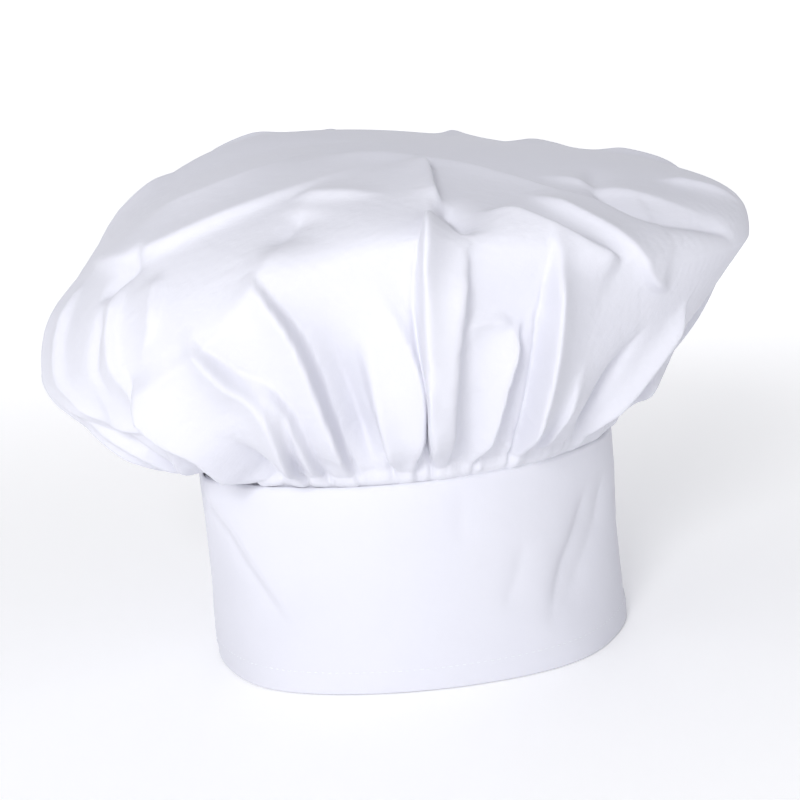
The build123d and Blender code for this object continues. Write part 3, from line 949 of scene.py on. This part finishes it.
def weave(tree, cloth, pitch):
    """The height of a plain weave: threads both ways, each over and under the other."""
    split = node(tree, "ShaderNodeSeparateXYZ", {0: cloth})
    warp = math_node(tree, "SINE", math_node(tree, "MULTIPLY", split.outputs[0], 2 * math.pi / pitch))
    weft = math_node(tree, "SINE", math_node(tree, "MULTIPLY", split.outputs[1], 2 * math.pi / pitch))
    return math_node(tree, "MULTIPLY", math_node(tree, "MULTIPLY", warp, weft), 0.5)


def cotton(name, color, shade, pitch=0.55 * MM, slub=0.25, crumple=0.35):
    """Woven cotton: a plain weave, uneven threads both ways, small dents, and a slight change of white."""
    material, tree, shader = principled(name, color, 0.88, sheen=0.12)
    cloth = node(tree, "ShaderNodeUVMap", uv_map="cloth").outputs[0]
    heights = math_node(tree, "MULTIPLY", weave(tree, cloth, pitch), 0.25)
    for across, along in ((1400, 45), (45, 1400)):
        stretched = node(tree, "ShaderNodeMapping", {"Vector": cloth, "Scale": (across, along, 1)}).outputs[0]
        threads = noise(tree, stretched, 1.0, 2.0)
        heights = math_node(tree, "ADD", heights, math_node(tree, "MULTIPLY", threads, slub))
    fine = node(tree, "ShaderNodeBump", {"Height": heights, "Strength": 0.35, "Distance": 0.12 * MM})
    coarse = node(tree, "ShaderNodeBump", {"Height": noise(tree, cloth, 110.0, 4.0, 0.55), "Strength": crumple,
                                           "Distance": 0.9 * MM, "Normal": fine.outputs[0]})
    tree.links.new(coarse.outputs[0], shader.inputs["Normal"])
    patches = noise(tree, cloth, 18.0, 5.0)
    tree.links.new(mixed_color(tree, patches, color, shade), shader.inputs["Base Color"])
    rough = node(tree, "ShaderNodeMapRange", {"Value": patches, "To Min": 0.82, "To Max": 0.95}).outputs[0]
    tree.links.new(rough, shader.inputs["Roughness"])
    return material


def pile_tape(name, color, shade, scale, strength):
    """Hook or loop tape: a field of small bumps on nylon."""
    material, tree, shader = principled(name, color, 0.6, sheen=0.3)
    cloth = node(tree, "ShaderNodeUVMap", uv_map="cloth").outputs[0]
    bumps = node(tree, "ShaderNodeTexVoronoi", {"Vector": cloth, "Scale": scale})
    fuzz = noise(tree, cloth, scale * 1.7, 4.0)
    height = math_node(tree, "ADD", bumps.outputs["Distance"], math_node(tree, "MULTIPLY", fuzz, 0.8))
    bump = node(tree, "ShaderNodeBump", {"Height": height, "Strength": strength, "Distance": 0.8 * MM})
    tree.links.new(bump.outputs[0], shader.inputs["Normal"])
    tree.links.new(mixed_color(tree, fuzz, color, shade), shader.inputs["Base Color"])
    return material


def sewing_thread(name, color, shade):
    """Twisted thread: fine diagonal strands, with painted shade darkening the grooves between them."""
    material, tree, shader = principled(name, color, 0.5, sheen=0.2)
    place = node(tree, "ShaderNodeTexCoord").outputs["Object"]
    strands = node(tree, "ShaderNodeTexWave", {"Vector": place, "Scale": 900.0, "Distortion": 1.5},
                   bands_direction="DIAGONAL")
    twist = {"Height": strands.outputs[1], "Strength": 0.5, "Distance": 0.08 * MM}
    bump = node(tree, "ShaderNodeBump", twist)
    tree.links.new(bump.outputs[0], shader.inputs["Normal"])
    # Painted shade: the low grooves of the strands get the darker colour, on top of the bump's own shading.
    tree.links.new(mixed_color(tree, strands.outputs[1], shade, color), shader.inputs["Base Color"])
    return material


# ---- studio

CAMERA_TARGET = Vector((0.0, 0.0, 0.109))
CAMERA_ELEVATION = 10.5
CAMERA_DISTANCE = 0.80
CAMERA_ROLL = 5.4
LENS = 78.1
SKY_SIDE = (-0.45, -0.10, 0.89)
SKY_DARK = 0.0
SKY_BRIGHT = 0.64
LAMP_TARGET = Vector((0.0, 0.0, 0.12))
# The floor is flat to this radius, then curves up into a wall. Its glow grows from near to far.
FLOOR_RADIUS = 12.0
FLOOR_BEND = 0.8
WALL_TOP = 1.4
FLOOR_SIDES = 96
FLOOR_BELOW = 0.3 * MM
GLOW_NEAR, GLOW_FAR, GLOW_REACH = 0.10, 0.60, 2.0


def studio():
    """The light, the floor and the camera."""
    scene = bpy.context.scene
    scene.view_settings.view_transform = "Standard"
    scene.view_settings.look = "None"
    world = bpy.data.worlds.new("studio_white")
    scene.world = world
    world.use_nodes = True
    background = world.node_tree.nodes["Background"]
    background.inputs["Color"].default_value = (0.95, 0.955, 1.0, 1)
    sky = node(world.node_tree, "ShaderNodeTexCoord").outputs["Generated"]
    toward = node(world.node_tree, "ShaderNodeVectorMath", {0: sky, 1: SKY_SIDE},
                  operation="DOT_PRODUCT").outputs[1]
    strength = node(world.node_tree, "ShaderNodeMapRange",
                    {"Value": toward, "From Min": -1.0, "To Min": SKY_DARK, "To Max": SKY_BRIGHT}).outputs[0]
    world.node_tree.links.new(strength, background.inputs["Strength"])

    floor_material, tree, shader = principled("pale_floor", (0.97, 0.97, 0.975), 0.9)
    shader.inputs["Emission Color"].default_value = (1, 1, 1, 1)
    place = node(tree, "ShaderNodeTexCoord").outputs["Object"]
    reach = node(tree, "ShaderNodeVectorMath", {0: place}, operation="LENGTH").outputs["Value"]
    glow = node(tree, "ShaderNodeMapRange",
                {"Value": reach, "From Max": GLOW_REACH, "To Min": GLOW_NEAR, "To Max": GLOW_FAR})
    tree.links.new(glow.outputs[0], shader.inputs["Emission Strength"])
    floor = backdrop(floor_material)

    lamp("key", 14.3, 0.45, (-0.34, -1.52, 0.72))
    lamp("back_fill", 4.0, 0.9, (0.20, 1.50, 0.90))
    camera = bpy.data.objects.new("camera", bpy.data.cameras.new("camera"))
    camera.data.lens = LENS
    camera.data.sensor_width = 36
    elevation = math.radians(CAMERA_ELEVATION)
    away = Vector((0, -math.cos(elevation), math.sin(elevation)))
    camera.location = CAMERA_TARGET + away * CAMERA_DISTANCE
    aim(camera, CAMERA_TARGET)
    camera.rotation_euler = (camera.rotation_euler.to_matrix()
                             @ Matrix.Rotation(math.radians(-CAMERA_ROLL), 3, "Z")).to_euler()
    scene.collection.objects.link(camera)
    scene.camera = camera


def backdrop(material):
    """A round floor that curves up into a wall all round."""
    bend, sides = FLOOR_BEND, FLOOR_SIDES
    curve = np.linspace(0, math.pi / 2, 24)
    profile = [(FLOOR_RADIUS + bend * math.sin(a), bend * (1 - math.cos(a))) for a in curve]
    profile.append((FLOOR_RADIUS + bend, WALL_TOP))
    turns = [2 * math.pi * i / sides for i in range(sides)]
    vertices = [(r * math.cos(a), r * math.sin(a), z - FLOOR_BELOW) for r, z in profile for a in turns]
    faces = [tuple(range(sides))]
    for ring in range(len(profile) - 1):
        for i in range(sides):
            a, b = ring * sides + i, ring * sides + (i + 1) % sides
            faces.append((a, a + sides, b + sides, b))
    return new_object("floor", vertices, faces, material)


def lamp(name, energy, size, place):
    """A round white lamp aimed at the hat."""
    light = bpy.data.lights.new(name, "AREA")
    light.shape = "DISK"
    light.size = size
    light.energy = energy
    thing = bpy.data.objects.new(name, light)
    thing.location = place
    aim(thing, LAMP_TARGET)
    bpy.context.scene.collection.objects.link(thing)


def aim(thing, target):
    """Turn a lamp or the camera to look at a point."""
    thing.rotation_euler = (target - thing.location).to_track_quat("-Z", "Y").to_euler()


# ---- the toque

WHITE = (0.725, 0.727, 0.785)
WHITE_SHADE = (0.69, 0.694, 0.76)
COTTON = cotton("white_cotton", WHITE, WHITE_SHADE)
BAND_COTTON = cotton("white_cotton_band", WHITE, WHITE_SHADE, crumple=0.2)
STIFF = cotton("stiff_interlining", (0.82, 0.83, 0.80), (0.76, 0.77, 0.74), pitch=1.1 * MM, slub=0.6)
BIAS = cotton("bias_tape", WHITE, WHITE_SHADE, pitch=0.45 * MM)
LABEL = cotton("label_satin", (0.88, 0.89, 0.90), (0.84, 0.85, 0.87), pitch=0.3 * MM, slub=0.1, crumple=0.1)
HOOKS = pile_tape("hook_tape_nylon", (0.80, 0.82, 0.85), (0.66, 0.68, 0.72), scale=900, strength=0.9)
LOOPS = pile_tape("loop_tape_nylon", (0.84, 0.86, 0.89), (0.74, 0.76, 0.80), scale=420, strength=0.7)
# The second colour is painted shade in the grooves between the thread's strands.
THREAD = sewing_thread("white_thread", (0.88, 0.90, 0.93), (0.66, 0.69, 0.74))

crown = build_crown(COTTON)
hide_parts("crown_puff", "crown_gather")
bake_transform(crown)

outer, facing, inner = build_headband(BAND_COTTON, STIFF)
root_fold, free_fold = build_end_folds(BAND_COTTON)
binding = build_vent_binding(BIAS)
tab = build_tab(BAND_COTTON)
hooks = tape("hook_tape_pile", tab_face, -0.02 * MM, -HOOK_THICKNESS, HOOK_SPAN, HOOKS, 0.15 * MM)
loops = tape("loop_tape_pile", band_face, 0.02 * MM, LOOP_THICKNESS, LOOP_SPAN, LOOPS, 0.25 * MM)
label = build_label(LABEL)
threads = build_stitching(THREAD)

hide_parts("headband_outer")
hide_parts("headband_facing")
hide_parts("headband_interfacing")
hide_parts("vent_binding")
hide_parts("closure_tab", "tab_interfacing", "tab_lap")
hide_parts("hook_tape")
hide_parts("loop_tape")
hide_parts("care_label")
for name, thread in threads.items():
    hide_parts(name)
    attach(thread, "closure_tab" if name == "hook_tape_stitching" else "headband")
for piece in (outer, facing, inner, root_fold, free_fold, binding, loops, label):
    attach(piece, "headband")
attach(hooks, "closure_tab")

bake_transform(tab)

studio()
